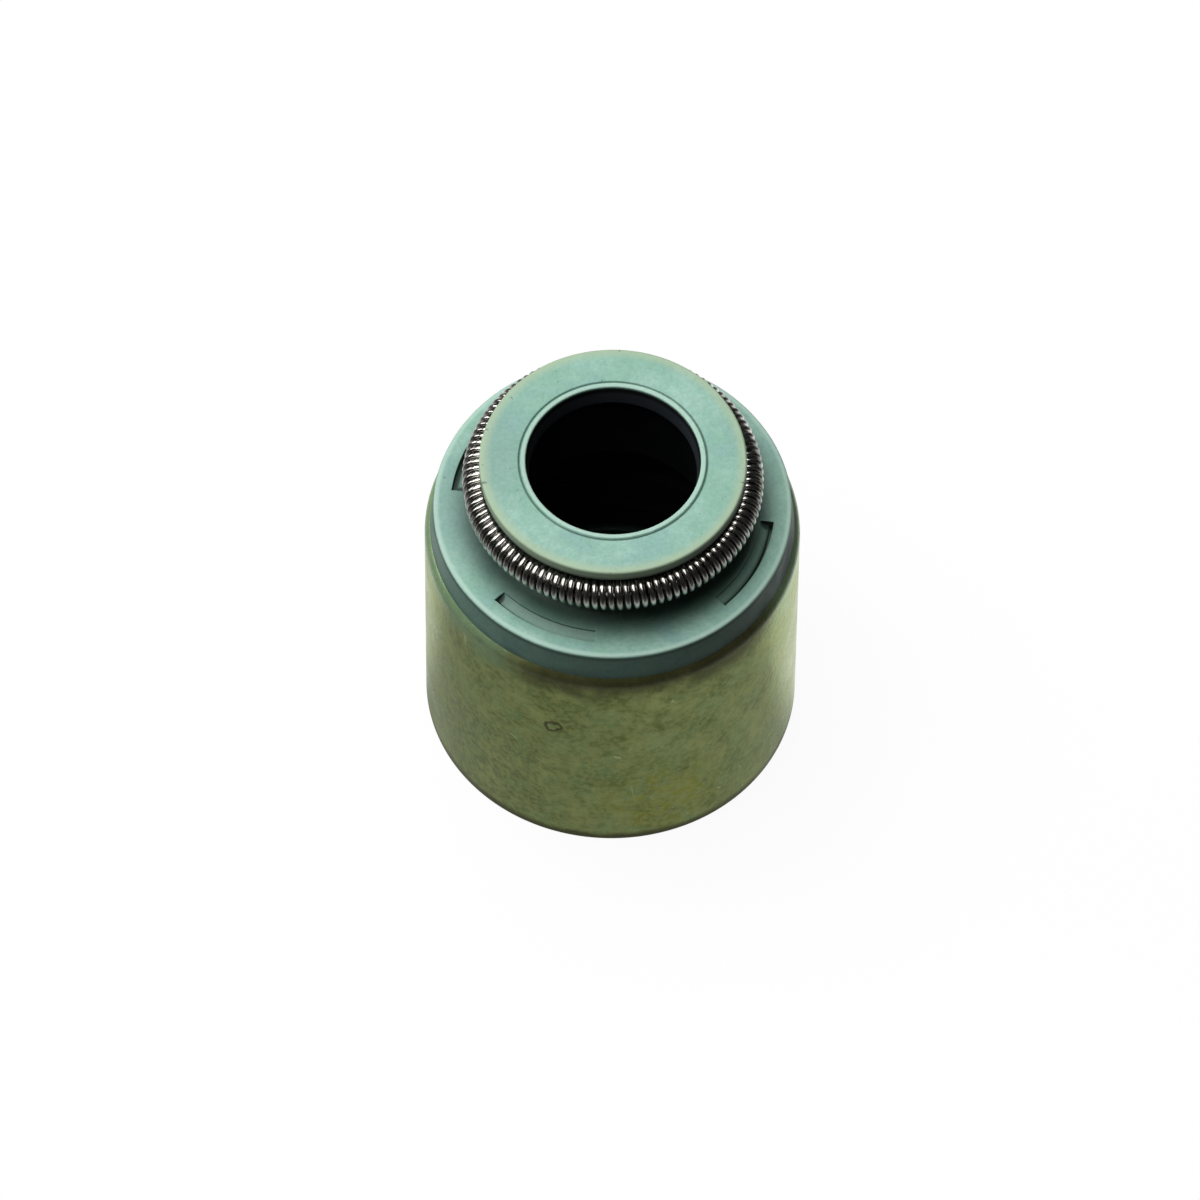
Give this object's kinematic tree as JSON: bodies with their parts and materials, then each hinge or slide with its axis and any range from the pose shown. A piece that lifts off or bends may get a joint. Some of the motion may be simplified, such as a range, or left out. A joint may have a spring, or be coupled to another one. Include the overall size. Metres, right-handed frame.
{
  "type": "valve stem seal",
  "caption": "Valve stem seal: an open drawn steel case with a moulded rubber head, lip and slotted shoulder, and a garter spring round the head.",
  "frame": {"origin": "centre of the case's open rim, on the plane that the rim stands on", "axes": "+Z along the seal's axis, from the open rim towards the lip's mouth"},
  "size_m": [0.015, 0.015, 0.0165],
  "materials": {
    "passivated_steel": "satin",
    "moulded_rubber": "satin",
    "spring_steel": "polished"
  },
  "bodies": {
    "root": {"steel_case": "passivated_steel", "rubber_seal": "moulded_rubber", "garter_spring": "spring_steel"}
  },
  "joints": []
}
